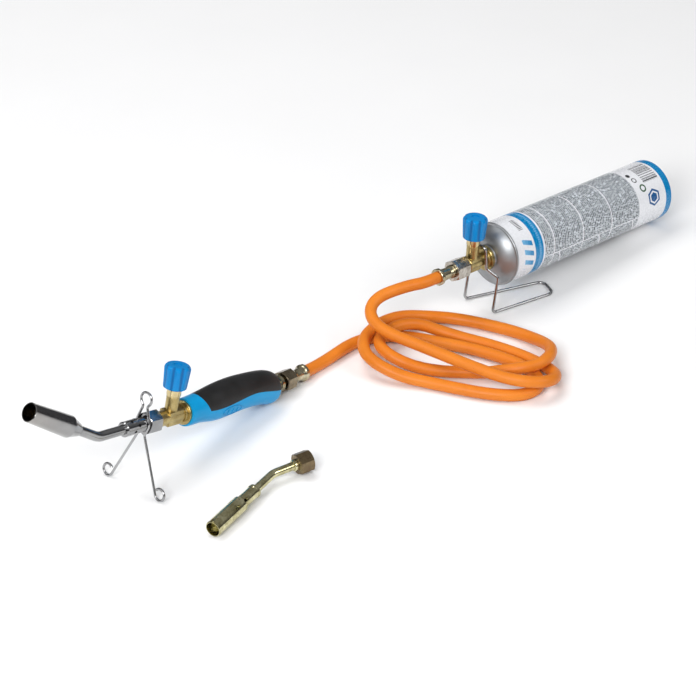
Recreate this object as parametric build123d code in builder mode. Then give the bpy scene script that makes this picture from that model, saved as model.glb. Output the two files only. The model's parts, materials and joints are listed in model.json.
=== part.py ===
from build123d import *
import math
import os

os.makedirs("parts", exist_ok=True)

# Propane torch kit: torch with handle, gas hose, disposable gas cartridge on a wire
# stand, and a loose spare burner. Millimetres, +X from the burner to the cartridge,
# +Z up, floor at z = 0.

# ---- where the three rigid groups lie -------------------------------------------
TORCH_REST_POINT = (-290.0, 39.75, 63.4)  # burner axis where the wire rest clips on
TORCH_AZIMUTH = 5.0
TORCH_TILT = 14.9  # burner end up
TAIL_TILT = 8.5  # the hose tail of the torch lies flatter
CAN_FOOT = (421.1, 31.65)  # over the plan position of the rear rim centre
CAN_TILT = 5.0  # valve end up
CAN_LIFT = 0.4  # under the rear rim
SPARE_MOUTH = (-305.9, -70.38, 8.3)
SPARE_AZIMUTH = 13.4
SPARE_RISE = 1.3

# ---- sizes shared by the parts --------------------------------------------------
GAP = 0.3  # clearance of one turning piece in another
RUN_FIT = 0.1  # radial clearance of a spindle in its seal
HOSE_R = 6.0
HOSE_BORE_R = 2.0
REST_WIRE_R = 1.25
STAND_WIRE_R = 1.5
CAN_R = 32.5
CAN_WALL = 0.8

# Torch, distances rearward along the burner axis from the wire rest.
BEND_AT = -60.0
SOCKET_FRONT = -27.0
GROOVE_HALF = 1.55
NUT_FRONT = 1.85
NUT_BACK = 17.2
STEM_AT = 38.0
FLANGE_FRONT = 53.5
HANDLE_FRONT = 56.0
HANDLE_BACK = 184.0

# Burner bell, along its own axis from the neck bend.
BELL_BEND = 25.5
BELL_ROLL = 20.2
BELL_CONE = 26.5
BELL_BACK = 40.0
BELL_MOUTH = 90.7
BELL_BACK_R = 10.6
BELL_MOUTH_R = 9.2
BELL_WALL = 1.0
NECK_R = 4.75
NECK_BORE_R = 3.3
SOCKET_R = 7.3
GROOVE_R = 5.6

# Valve trim, heights up the stem from the gas axis.
TOWER_TOP = 20.5
GLAND_TOP = 28.0
KNOB_BOTTOM = 29.0
KNOB_TOP = 52.0
TOWER_R = 6.4
GLAND_R = 6.9
PACKING_R = 4.5
SPINDLE_R = 2.4
KNOB_BOTTOM_R = 11.2
KNOB_TOP_R = 12.9
KNOB_FLUTES = 8
FLUTE_R = 3.6
FLUTE_OUT = 14.3  # flute centres stand outside the knob

# Cartridge, distances forward along its axis from the rear rim.
SEAM_AT = 242.5
DOME_TOP = 255.5
COLLAR_BACK = 256.5
COLLAR_STEP = 260.0
COLLAR_FRONT = 262.5
STAND_AT = 265.5
CAN_STEM_AT = 277.5
TAP_FRONT = 285.0
TAP_NUT_BACK = 289.0
TAP_NUT_FRONT = 306.5
TAP_HOSE_AT = 328.0


def frame_at(origin, azimuth, tilt):
    """A plane whose X runs along an axis that falls by tilt, and whose Y points up."""
    turn = math.radians(azimuth)
    fall = math.radians(tilt)
    along = Vector(
        math.cos(fall) * math.cos(turn), math.cos(fall) * math.sin(turn), -math.sin(fall)
    )
    side = Vector(-math.sin(turn), math.cos(turn), 0)
    return Plane(origin=origin, x_dir=along, z_dir=side * -1)


def point_on(frame, along, up=0.0, side=0.0):
    return frame.from_local_coords(Vector(along, up, side))


def axis_of(frame):
    return Axis(frame.origin, frame.x_dir)


def cross_plane(frame, along):
    """The plane across a frame's axis; its X points up."""
    return Plane(origin=point_on(frame, along), x_dir=frame.y_dir, z_dir=frame.x_dir)


def stem_plane(frame, along):
    """A frame whose X runs up a valve stem that stands on the given frame's axis."""
    return Plane(origin=point_on(frame, along), x_dir=frame.y_dir, z_dir=frame.z_dir)


def outline(frame, points):
    """A closed outline of (along, radius) points on the frame's own plane."""
    with BuildSketch(frame) as sketch:
        with BuildLine():
            Polyline(*points, close=True)
        make_face()
    return sketch.sketch


def band(frame, start, end, radius, inner=0.0):
    """The outline of a plain cylinder or ring about the frame's axis."""
    return outline(frame, [(start, inner), (end, inner), (end, radius), (start, radius)])


def hexagon(plane, flats):
    with BuildSketch(plane) as sketch:
        RegularPolygon(flats / 2, 6, major_radius=False)
    return sketch.sketch


def hex_crown(frame, start, end, flats):
    """The turned outline that takes the corners off a hexagon at both ends."""
    corner = flats / math.sqrt(3) + 0.02
    low = flats / 2 - 0.2
    drop = (corner - low) * math.tan(math.radians(30))
    return outline(
        frame,
        [
            (start, 0),
            (end, 0),
            (end, low),
            (end - drop, corner),
            (start + drop, corner),
            (start, low),
        ],
    )


def save(part, label):
    part.label = label
    export_step(part, f"parts/{label}.step")


# ---- frames ---------------------------------------------------------------------
torch = frame_at(TORCH_REST_POINT, TORCH_AZIMUTH, TORCH_TILT)
tail = frame_at(point_on(torch, HANDLE_BACK), TORCH_AZIMUTH, TAIL_TILT)
can_back = (CAN_FOOT[0], CAN_FOOT[1], CAN_R * math.cos(math.radians(CAN_TILT)) + CAN_LIFT)
can_rearward = frame_at(can_back, 0, CAN_TILT)
can = Plane(origin=can_back, x_dir=can_rearward.x_dir * -1, z_dir=can_rearward.z_dir * -1)
torch_stem = stem_plane(torch, STEM_AT)
can_stem = stem_plane(can, CAN_STEM_AT)

bend_point = point_on(torch, BEND_AT)
roll = math.radians(BELL_ROLL)
swing = math.radians(BELL_BEND)
bell_up = torch.y_dir * math.cos(roll) - torch.z_dir * math.sin(roll)
bell_dir = torch.x_dir * -math.cos(swing) + bell_up * math.sin(swing)
bell = Plane(origin=bend_point, x_dir=bell_dir, z_dir=bell_dir.cross(bell_up))

# ---- burner of the torch --------------------------------------------------------
with BuildPart() as burner_bell:
    bell_outer = outline(
        bell,
        [
            (BELL_CONE, 0),
            (BELL_MOUTH, 0),
            (BELL_MOUTH, BELL_MOUTH_R - 0.4),
            (BELL_MOUTH - 0.4, BELL_MOUTH_R),
            (BELL_BACK, BELL_BACK_R),
            (BELL_BACK - 2.0, BELL_BACK_R - 0.8),
            (BELL_CONE + 1.0, NECK_R + 1.6),
            (BELL_CONE, NECK_R + 1.0),
        ],
    )
    revolve(bell_outer, axis=axis_of(bell))
    bell_inside = outline(
        bell,
        [
            (BELL_BACK - 1.0, 0),
            (BELL_MOUTH + 1, 0),
            (BELL_MOUTH + 1, BELL_MOUTH_R - BELL_WALL),
            (BELL_BACK + 1.5, BELL_BACK_R - BELL_WALL),
            (BELL_BACK - 1.0, BELL_BACK_R - 3.0),
        ],
    )
    revolve(bell_inside, axis=axis_of(bell), mode=Mode.SUBTRACT)
    revolve(
        band(bell, BELL_CONE - 1, BELL_BACK + 1, NECK_R), axis=axis_of(bell), mode=Mode.SUBTRACT
    )
save(burner_bell.part, "burner_bell")

FLAME_DISC_AT = BELL_BACK + 9.5
FLAME_DISC_T = 3.0
FLAME_DISC_R = 8.5
FLAME_HOLES = 8
with BuildPart() as flame_holder:
    disc = band(bell, FLAME_DISC_AT, FLAME_DISC_AT + FLAME_DISC_T, FLAME_DISC_R)
    revolve(disc, axis=axis_of(bell))
    with BuildSketch(cross_plane(bell, FLAME_DISC_AT)):
        Circle(1.4)
        with PolarLocations(5.4, FLAME_HOLES):
            Circle(1.2)
    extrude(amount=FLAME_DISC_T, mode=Mode.SUBTRACT)
save(flame_holder.part, "flame_holder")

with BuildPart() as burner_neck:
    with BuildLine() as neck_path:
        FilletPolyline(
            point_on(torch, SOCKET_FRONT + 6),
            bend_point,
            point_on(bell, BELL_BACK - 1.0),
            radius=24,
        )
    with BuildSketch(cross_plane(torch, SOCKET_FRONT + 6)):
        Circle(NECK_R)
        Circle(NECK_BORE_R, mode=Mode.SUBTRACT)
    sweep()
save(burner_neck.part, "burner_neck")

SOCKET_BORE_R = 3.6
SOCKET_COLLAR_BACK = 8.5
LIP_BACK = 4.2
with BuildPart() as burner_socket:
    socket_body = outline(
        torch,
        [
            (SOCKET_FRONT, SOCKET_BORE_R),
            (SOCKET_COLLAR_BACK, SOCKET_BORE_R),
            (SOCKET_COLLAR_BACK, SOCKET_R - 0.8),
            (SOCKET_COLLAR_BACK - 0.8, SOCKET_R),
            (LIP_BACK + GAP, SOCKET_R),
            (LIP_BACK + GAP, GROOVE_R),
            (-GROOVE_HALF, GROOVE_R),
            (-GROOVE_HALF, SOCKET_R - 0.4),
            (-GROOVE_HALF - 0.4, SOCKET_R),
            (SOCKET_FRONT + 1.2, SOCKET_R),
            (SOCKET_FRONT, SOCKET_R - 1.2),
        ],
    )
    revolve(socket_body, axis=axis_of(torch))
    revolve(
        band(torch, SOCKET_FRONT - 1, SOCKET_FRONT + 6, NECK_R),
        axis=axis_of(torch),
        mode=Mode.SUBTRACT,
    )
    AIR_HOLES = 4
    for ring_at, ring_turn in ((SOCKET_FRONT + 9, 20.0), (SOCKET_FRONT + 15.5, 65.0)):
        for index in range(AIR_HOLES):
            hole_plane = torch.rotated((ring_turn + index * 360 / AIR_HOLES, 0, 0))
            start = point_on(torch, ring_at)
            with BuildSketch(Plane(origin=start, x_dir=torch.x_dir, z_dir=hole_plane.y_dir)):
                Circle(1.5)
            extrude(amount=SOCKET_R + 2, mode=Mode.SUBTRACT)
save(burner_socket.part, "burner_socket")

JET_R = 3.1
with BuildPart() as gas_jet:
    jet_body = outline(
        torch,
        [
            (-6, 0.4),
            (SOCKET_COLLAR_BACK + GAP + 3, 0.4),
            (SOCKET_COLLAR_BACK + GAP + 3, JET_R),
            (-4, JET_R),
            (-6, 1.6),
        ],
    )
    revolve(jet_body, axis=axis_of(torch))
save(gas_jet.part, "gas_jet")

BURNER_NUT_FLATS = 20.0
SPIGOT_R = 7.1
with BuildPart() as burner_nut:
    extrude(hexagon(cross_plane(torch, NUT_FRONT), BURNER_NUT_FLATS), amount=NUT_BACK - NUT_FRONT)
    revolve(
        hex_crown(torch, NUT_FRONT, NUT_BACK, BURNER_NUT_FLATS),
        axis=axis_of(torch),
        mode=Mode.INTERSECT,
    )
    revolve(
        band(torch, NUT_FRONT - 1, NUT_BACK + 1, GROOVE_R + GAP),
        axis=axis_of(torch),
        mode=Mode.SUBTRACT,
    )
    revolve(
        band(torch, LIP_BACK, NUT_BACK + 1, SOCKET_R + GAP),
        axis=axis_of(torch),
        mode=Mode.SUBTRACT,
    )
save(burner_nut.part, "burner_nut")

# Wire rest: a loop, a pinched neck, a grip round the groove and two curled legs.
rest_plane = Plane(origin=torch.origin, x_dir=torch.z_dir * -1, z_dir=torch.x_dir)
REST_LOOP_Y = 25.0
REST_LOOP_R = 6.4
REST_LOOP_ARC = 130.0
REST_NECK = (2.6, 18.0)
REST_GRIP = (8.3, 1.0)
REST_KNEE = (4.2, -10.0)
REST_FOOT = (27.7, -61.0)
REST_BENDS = (3.0, 7.0, 3.0)
REST_CURL_R = 5.6
REST_CURL_ARC = 300.0

with BuildPart() as torch_rest:
    for hand in (1, -1):
        with BuildLine(rest_plane) as rest_wire:
            top = (0, REST_LOOP_Y + REST_LOOP_R)
            loop_half = JernArc(top, (hand, 0), REST_LOOP_R, -hand * REST_LOOP_ARC)
            loop_end = rest_plane.to_local_coords(loop_half @ 1)
            strand = FilletPolyline(
                (loop_end.X, loop_end.Y),
                (hand * REST_NECK[0], REST_NECK[1]),
                (hand * REST_GRIP[0], REST_GRIP[1]),
                (hand * REST_KNEE[0], REST_KNEE[1]),
                (hand * REST_FOOT[0], REST_FOOT[1]),
                radius=REST_BENDS,
            )
            leg = (hand * (REST_FOOT[0] - REST_KNEE[0]), REST_FOOT[1] - REST_KNEE[1])
            JernArc((hand * REST_FOOT[0], REST_FOOT[1]), leg, REST_CURL_R, hand * REST_CURL_ARC)
        top_centre = rest_plane.from_local_coords(Vector(0, REST_LOOP_Y + REST_LOOP_R))
        with BuildSketch(Plane(origin=top_centre, z_dir=rest_plane.x_dir * hand)):
            Circle(REST_WIRE_R)
        sweep(path=rest_wire.line)
save(torch_rest.part, "torch_rest")

# ---- torch valve ----------------------------------------------------------------
FLANGE_R = 11.7
BODY_R = 7.5
GAS_R = 1.8


def drill_valve(frame, stem, start, end):
    """Gas way along the frame and the spindle's bore down the tower."""
    revolve(band(frame, start, end, GAS_R), axis=axis_of(frame), mode=Mode.SUBTRACT)
    bore = [(3.0, 0), (TOWER_TOP + 1, 0), (TOWER_TOP + 1, PACKING_R), (9.0, PACKING_R)]
    bore += [(8.0, SPINDLE_R + GAP), (4.0, SPINDLE_R + GAP), (3.0, GAS_R)]
    revolve(outline(stem, bore), axis=axis_of(stem), mode=Mode.SUBTRACT)


with BuildPart() as torch_valve_body:
    brass = outline(
        torch,
        [
            (SOCKET_COLLAR_BACK + GAP, 0),
            (HANDLE_FRONT + 10, 0),
            (HANDLE_FRONT + 10, 6.0),
            (HANDLE_FRONT, 6.0),
            (HANDLE_FRONT, FLANGE_R),
            (FLANGE_FRONT + 0.6, FLANGE_R),
            (FLANGE_FRONT, FLANGE_R - 0.6),
            (FLANGE_FRONT, 9.0),
            (FLANGE_FRONT - 2.5, 8.6),
            (FLANGE_FRONT - 2.5, BODY_R),
            (NUT_BACK + GAP, BODY_R),
            (NUT_BACK + GAP, SPIGOT_R),
            (SOCKET_COLLAR_BACK + GAP, SPIGOT_R),
        ],
    )
    revolve(brass, axis=axis_of(torch))
    with BuildSketch(cross_plane(torch, STEM_AT - 8)):
        RectangleRounded(15.0, 13.6, 1.5)
    extrude(amount=19.0)
    revolve(band(torch_stem, 0, TOWER_TOP, TOWER_R), axis=axis_of(torch_stem))
    drill_valve(torch, torch_stem, SOCKET_COLLAR_BACK, HANDLE_FRONT + 11)
    revolve(
        band(torch, SOCKET_COLLAR_BACK, SOCKET_COLLAR_BACK + GAP + 3, JET_R),
        axis=axis_of(torch),
        mode=Mode.SUBTRACT,
    )
save(torch_valve_body.part, "torch_valve_body")


def gland_on(stem):
    with BuildPart() as gland:
        gland_outline = [
            (TOWER_TOP, SPINDLE_R + GAP),
            (GLAND_TOP, SPINDLE_R + GAP),
            (GLAND_TOP, GLAND_R - 0.6),
            (GLAND_TOP - 0.6, GLAND_R),
            (TOWER_TOP + 1.4, GLAND_R),
            (TOWER_TOP + 0.8, GLAND_R - 0.7),
            (TOWER_TOP, GLAND_R - 0.7),
        ]
        revolve(outline(stem, gland_outline), axis=axis_of(stem))
    return gland.part


def spindle_on(stem):
    with BuildPart() as spindle:
        spindle_outline = [
            (3.6, 0),
            (KNOB_TOP - 4, 0),
            (KNOB_TOP - 4, SPINDLE_R),
            (5.6, SPINDLE_R),
            (3.6, 1.0),
        ]
        revolve(outline(stem, spindle_outline), axis=axis_of(stem))
    return spindle.part


SEAL_AT = 12.0
SEAL_WIRE_R = 0.85


def seal_on(stem):
    with BuildPart() as seal:
        with BuildSketch(stem):
            with Locations((SEAL_AT, SPINDLE_R + RUN_FIT + SEAL_WIRE_R)):
                Circle(SEAL_WIRE_R)
        revolve(axis=axis_of(stem))
    return seal.part


def knob_on(stem):
    with BuildPart() as knob:
        knob_outline = [
            (KNOB_BOTTOM, 0),
            (KNOB_TOP, 0),
            (KNOB_TOP, KNOB_TOP_R),
            (KNOB_BOTTOM, KNOB_BOTTOM_R),
        ]
        revolve(outline(stem, knob_outline), axis=axis_of(stem))
        rims = edges().filter_by(GeomType.CIRCLE).sort_by(axis_of(stem))
        fillet(rims[-1], radius=3.6)
        fillet(rims[0], radius=1.2)
        with BuildSketch(cross_plane(stem, KNOB_BOTTOM)):
            with PolarLocations(FLUTE_OUT, KNOB_FLUTES, start_angle=22.5):
                Circle(FLUTE_R)
        extrude(amount=KNOB_TOP - KNOB_BOTTOM, mode=Mode.SUBTRACT)
        revolve(band(stem, KNOB_TOP - 0.8, KNOB_TOP + 1, 4.2), axis=axis_of(stem), mode=Mode.SUBTRACT)
        revolve(
            band(stem, KNOB_BOTTOM - 1, KNOB_TOP - 4, SPINDLE_R),
            axis=axis_of(stem),
            mode=Mode.SUBTRACT,
        )
    return knob.part


for prefix, stem in (("torch", torch_stem), ("cartridge", can_stem)):
    save(gland_on(stem), f"{prefix}_gland")
    save(spindle_on(stem), f"{prefix}_spindle")
    save(seal_on(stem), f"{prefix}_spindle_seal")
    save(knob_on(stem), f"{prefix}_knob")

# ---- handle ---------------------------------------------------------------------
# Stations along the torch axis: distance, height above it, depth below it, half width.
HANDLE_STATIONS = (
    (56.0, 13.4, 13.4, 13.4),
    (66.0, 14.2, 13.8, 13.8),
    (86.0, 17.2, 15.2, 14.6),
    (102.0, 20.0, 16.2, 15.4),
    (120.0, 21.6, 14.6, 15.6),
    (140.0, 21.6, 13.2, 15.4),
    (158.0, 20.8, 13.4, 15.2),
    (174.0, 18.6, 15.6, 14.8),
    (184.0, 14.6, 14.6, 13.2),
)
GRIP_THICKNESS = 2.2
GAS_TUBE_R = 4.0


def handle_section(station, shrink=0.0):
    along, above, below, half_width = station
    centre = point_on(torch, along, (above - below) / 2)
    with BuildSketch(Plane(origin=centre, x_dir=torch.y_dir, z_dir=torch.x_dir)) as section:
        Ellipse((above + below) / 2 - shrink, half_width - shrink)
    return section.sketch


def handle_body(shrink=0.0):
    with BuildPart() as body:
        loft([handle_section(station, shrink).face() for station in HANDLE_STATIONS])
    return body.part


# Side outline of the soft grip: it wraps the top and dips behind the front ring.
GRIP_OUTLINE = (
    (65.0, 26.0),
    (80.0, 1.5),
    (98.0, 1.5),
    (120.0, 4.5),
    (144.0, 7.0),
    (166.0, 4.5),
    (190.0, 1.0),
    (190.0, 26.0),
)
with BuildPart() as handle_grip:
    add(handle_body())
    with BuildSketch(torch):
        with BuildLine():
            Line(GRIP_OUTLINE[0], GRIP_OUTLINE[1])
            Spline(*GRIP_OUTLINE[1:-1])
            Line(GRIP_OUTLINE[-2], GRIP_OUTLINE[-1])
            Line(GRIP_OUTLINE[-1], GRIP_OUTLINE[0])
        make_face()
    extrude(amount=30, both=True, mode=Mode.INTERSECT)
    add(handle_body(GRIP_THICKNESS), mode=Mode.SUBTRACT)
save(handle_grip.part, "handle_grip")

with BuildPart() as handle_shell:
    add(handle_body())
    add(handle_grip.part, mode=Mode.SUBTRACT)
    revolve(
        band(torch, HANDLE_FRONT - 1, HANDLE_FRONT + 10, 6.0), axis=axis_of(torch), mode=Mode.SUBTRACT
    )
    revolve(
        band(torch, HANDLE_FRONT - 1, HANDLE_BACK + 1, GAS_TUBE_R),
        axis=axis_of(torch),
        mode=Mode.SUBTRACT,
    )
save(handle_shell.part, "handle_shell")

with BuildPart() as gas_tube:
    revolve(
        band(torch, HANDLE_FRONT + 10, HANDLE_BACK - 1, GAS_TUBE_R, 2.4), axis=axis_of(torch)
    )
save(gas_tube.part, "gas_tube")

# ---- hose tail of the torch -----------------------------------------------------
TAIL_COLLAR_FRONT = 1.2
TAIL_COLLAR_BACK = 13.0
TAIL_NUT_FRONT = 15.5
TAIL_NUT_BACK = 29.0
TAIL_HOSE_AT = 49.0
TAIL_NUT_FLATS = 19.0
RING_R = 8.6


def swivel_nut(frame, start, end, flats):
    with BuildPart() as nut:
        extrude(hexagon(cross_plane(frame, start), flats), amount=end - start)
        revolve(hex_crown(frame, start, end, flats), axis=axis_of(frame), mode=Mode.INTERSECT)
        revolve(band(frame, start - 1, end + 1, 5.0 + GAP), axis=axis_of(frame), mode=Mode.SUBTRACT)
    return nut.part


def ferrule_on(frame, nut_end, hose_at):
    """Crimp ferrule: a waist behind the nut and a ring where the hose goes in."""
    crimp = [
        (nut_end + GAP, 5.0),
        (hose_at - 4.5, 5.0),
        (hose_at, 5.0),
        (hose_at, RING_R - 0.5),
        (hose_at - 0.5, RING_R),
        (hose_at - 3.4, RING_R),
        (hose_at - 4.4, RING_R - 1.0),
        (hose_at - 6.5, 6.4),
        (nut_end + 6.0, 6.0),
        (nut_end + 3.5, 6.8),
        (nut_end + GAP, 6.8),
    ]
    with BuildPart() as ferrule:
        revolve(outline(frame, crimp), axis=axis_of(frame))
    return ferrule.part


with BuildPart() as tail_nipple:
    tail_collar = outline(
        tail,
        [
            (TAIL_COLLAR_FRONT, GAS_R),
            (TAIL_HOSE_AT, GAS_R),
            (TAIL_HOSE_AT, 5.0),
            (TAIL_COLLAR_BACK, 5.0),
            (TAIL_COLLAR_BACK, 7.6),
            (TAIL_COLLAR_BACK - 0.8, 8.4),
            (8.2, 8.4),
            (7.6, 7.4),
            (6.4, 7.4),
            (5.8, 8.4),
            (TAIL_COLLAR_FRONT + 1.0, 8.4),
            (TAIL_COLLAR_FRONT, 7.6),
        ],
    )
    revolve(tail_collar, axis=axis_of(tail))
save(tail_nipple.part, "tail_nipple")
save(swivel_nut(tail, TAIL_NUT_FRONT, TAIL_NUT_BACK, TAIL_NUT_FLATS), "tail_hose_nut")
save(ferrule_on(tail, TAIL_NUT_BACK, TAIL_HOSE_AT), "tail_ferrule")

# ---- hose -----------------------------------------------------------------------
# The route from the torch's tail to the cartridge tap.
hose_start = point_on(tail, TAIL_HOSE_AT)
hose_first = point_on(tail, TAIL_HOSE_AT + 16)
hose_last = point_on(can, TAP_HOSE_AT + 17)
hose_end = point_on(can, TAP_HOSE_AT)
HOSE_ROUTE = [
    (-23.5, 63, 6.3),
    (3.5, 66.5, 6.3),
    (24.5, 63.5, 6.3),
    (43.5, 53, 6.3),
    (59.5, 33, 6.3),
    (72.5, 6, 6.3),
    (85.5, -22, 6.3),
    (94.5, -50, 6.3),
    (98.5, -75, 6.3),
    (98.5, -94, 6.3),
    (91.5, -110.5, 6.3),
    (77.5, -120, 6.3),
    (61.5, -118, 6.3),
    (47.5, -106, 6.3),
    (34.5, -87, 6.3),
    (22.5, -62, 6.3),
    (11, -36, 6.3),
    (-0.5, -17, 8.5),
    (-9.5, -1, 14),
    (-13, 16, 18.5),
    (-7.5, 32.5, 19.3),
    (4.5, 46.5, 19.3),
    (21.5, 55.5, 19.3),
    (44.5, 59.5, 19.3),
    (69.5, 57, 16.5),
    (94.5, 48.5, 9),
    (116.5, 27, 6.3),
    (130.5, -4, 6.3),
    (140.5, -33, 6.3),
    (143.5, -55, 7),
    (139.5, -75, 11.5),
    (129.5, -92, 17),
    (113.5, -103.5, 20.6),
    (95.5, -106, 20.6),
    (80.5, -98, 19.4),
    (70.5, -82, 14),
    (61.5, -66, 8),
    (50.5, -50, 6.3),
    (35.5, -33, 6.3),
    (22, -14, 8),
    (11, 2, 14),
    (7, 18.5, 18.8),
    (13, 33, 19.6),
    (25.5, 41.5, 19.6),
    (42.5, 44, 19.6),
    (59.5, 40.5, 19.2),
    (74.5, 31.5, 15),
    (86.5, 16, 8.5),
    (95.5, -6, 6.3),
    (104.5, -32, 6.3),
    (111.5, -61, 6.3),
    (114, -88, 6.3),
    (111.5, -107, 7.5),
    (102.5, -122.5, 12),
    (87.5, -130, 16.5),
    (71.5, -127, 20),
    (59, -114, 21.5),
    (50.5, -96, 22),
    (42.5, -66, 23.5),
    (34.5, -33, 26.5),
    (26, -2, 30),
    (18.5, 21, 33),
    (16, 39, 37),
    (20, 52, 42),
    (29.5, 58.5, 47.2),
    (41, 57.5, 52),
    (53.5, 50, 56.5),
    (66.5, 41, 60.3),
]
route = [hose_start, hose_first]
route += [Vector(*place) for place in HOSE_ROUTE]
route += [hose_last, hose_end]
bend_radii = []
for before, corner, after in zip(route, route[1:], route[2:]):
    run_in = corner - before
    run_out = after - corner
    half_turn = math.radians(run_in.get_angle(run_out)) / 2
    shorter = min(run_in.length, run_out.length)
    bend_radii.append(0.45 * shorter / math.tan(half_turn))
print("hose arc radii:", [round(radius, 1) for radius in bend_radii])

with BuildPart() as hose:
    with BuildLine() as hose_line:
        FilletPolyline(*route, radius=bend_radii)
    with BuildSketch(Plane(origin=hose_line.line @ 0, z_dir=hose_line.line % 0)):
        Circle(HOSE_R)
        Circle(HOSE_BORE_R, mode=Mode.SUBTRACT)
    sweep()
hose_length = sum(edge.length for edge in hose_line.edges())
plain_volume = math.pi * (HOSE_R**2 - HOSE_BORE_R**2) * hose_length
print("hose length:", round(hose_length, 1))
print("hose volume over section x length:", round(hose.part.volume / plain_volume, 4))
save(hose.part, "hose")

# ---- cartridge tap --------------------------------------------------------------
with BuildPart() as cartridge_valve_body:
    tap = outline(
        can,
        [
            (COLLAR_BACK, 0),
            (TAP_FRONT, 0),
            (TAP_FRONT, 6.6),
            (TAP_FRONT - 0.8, BODY_R),
            (CAN_STEM_AT - 8, BODY_R),
            (CAN_STEM_AT - 8.6, 6.6),
            (COLLAR_FRONT, 6.6),
            (COLLAR_FRONT, 10.4),
            (COLLAR_FRONT - 0.6, 11.0),
            (COLLAR_STEP, 11.0),
            (COLLAR_STEP, 12.6),
            (COLLAR_STEP - 0.5, 13.1),
            (COLLAR_BACK, 13.1),
        ],
    )
    revolve(tap, axis=axis_of(can))
    with BuildSketch(cross_plane(can, CAN_STEM_AT - 6.5)):
        RectangleRounded(14.4, 13.0, 1.5)
    extrude(amount=13.0)
    revolve(band(can_stem, 0, TOWER_TOP, TOWER_R), axis=axis_of(can_stem))
    drill_valve(can, can_stem, COLLAR_BACK, TAP_FRONT + 1)
    revolve(
        band(can, COLLAR_BACK - 1, COLLAR_FRONT - 1.5, 5.9),
        axis=axis_of(can),
        mode=Mode.SUBTRACT,
    )
save(cartridge_valve_body.part, "cartridge_valve_body")

with BuildPart() as tap_nipple:
    nipple = [
        (TAP_FRONT, GAS_R),
        (TAP_HOSE_AT, GAS_R),
        (TAP_HOSE_AT, 5.0),
        (TAP_FRONT + 1.6, 5.0),
        (TAP_FRONT + 1.6, 6.4),
        (TAP_FRONT, 6.4),
    ]
    revolve(outline(can, nipple), axis=axis_of(can))
save(tap_nipple.part, "tap_nipple")
TAP_NUT_FLATS = 20.0
save(swivel_nut(can, TAP_NUT_BACK, TAP_NUT_FRONT, TAP_NUT_FLATS), "tap_hose_nut")
save(ferrule_on(can, TAP_NUT_FRONT, TAP_HOSE_AT), "tap_ferrule")

# ---- cartridge ------------------------------------------------------------------
CAN_SPIGOT_R = 5.55
NECK_TOP_R = 12.3
with BuildPart() as can_body:
    revolve(band(can, 2.5, SEAM_AT, CAN_R, CAN_R - CAN_WALL), axis=axis_of(can))
save(can_body.part, "can_body")

with BuildPart() as can_dome:
    with BuildSketch(can):
        with BuildLine():
            Polyline(
                (SEAM_AT - 1.2, CAN_R - CAN_WALL),
                (SEAM_AT, CAN_R - CAN_WALL),
                (SEAM_AT, CAN_R + 0.3),
                (SEAM_AT + 0.6, CAN_R + 0.7),
                (SEAM_AT + 1.8, CAN_R + 0.7),
                (SEAM_AT + 2.4, CAN_R + 0.1),
                (SEAM_AT + 2.4, CAN_R - 1.6),
            )
            ThreePointArc(
                (SEAM_AT + 2.4, CAN_R - 1.6), (SEAM_AT + 8.2, 24.0), (DOME_TOP - 1.2, NECK_TOP_R + 0.6)
            )
            Polyline(
                (DOME_TOP - 1.2, NECK_TOP_R + 0.6),
                (DOME_TOP, NECK_TOP_R),
                (DOME_TOP, NECK_TOP_R - 2.5),
                (DOME_TOP - 2.2, NECK_TOP_R - 2.5),
            )
            ThreePointArc(
                (DOME_TOP - 2.2, NECK_TOP_R - 2.5), (SEAM_AT + 6.7, 23.2), (SEAM_AT - 1.2, CAN_R - 3.0)
            )
            Line((SEAM_AT - 1.2, CAN_R - 3.0), (SEAM_AT - 1.2, CAN_R - CAN_WALL))
        make_face()
    revolve(axis=axis_of(can))
save(can_dome.part, "can_dome")

with BuildPart() as can_base:
    with BuildSketch(can):
        with BuildLine():
            Polyline(
                (2.5, CAN_R),
                (0.7, CAN_R),
                (0.0, CAN_R - 0.7),
                (0.0, CAN_R - 2.0),
                (0.7, CAN_R - 2.7),
                (3.0, CAN_R - 3.2),
            )
            ThreePointArc((3.0, CAN_R - 3.2), (8.4, 20.0), (11.0, 8.0))
            Polyline((11.0, 8.0), (11.0, 0), (12.0, 0), (12.0, 8.0))
            ThreePointArc((12.0, 8.0), (9.4, 20.6), (4.0, CAN_R - CAN_WALL))
            Polyline((4.0, CAN_R - CAN_WALL), (2.5, CAN_R - CAN_WALL), (2.5, CAN_R))
        make_face()
    revolve(axis=axis_of(can))
save(can_base.part, "can_base")

with BuildPart() as can_valve:
    valve_cup = [
        (DOME_TOP - 4, 1.2),
        (COLLAR_FRONT - 2.2, 1.2),
        (COLLAR_FRONT - 2.2, CAN_SPIGOT_R),
        (DOME_TOP, CAN_SPIGOT_R),
        (DOME_TOP, NECK_TOP_R - 2.5),
        (DOME_TOP - 2.2, NECK_TOP_R - 2.5),
        (DOME_TOP - 4, 7.0),
    ]
    revolve(outline(can, valve_cup), axis=axis_of(can))
save(can_valve.part, "can_valve")

with BuildPart() as tap_gasket:
    revolve(
        band(can, DOME_TOP + 0.15, COLLAR_BACK - 0.15, NECK_TOP_R - 0.8, CAN_SPIGOT_R + GAP),
        axis=axis_of(can),
    )
save(tap_gasket.part, "tap_gasket")

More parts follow.
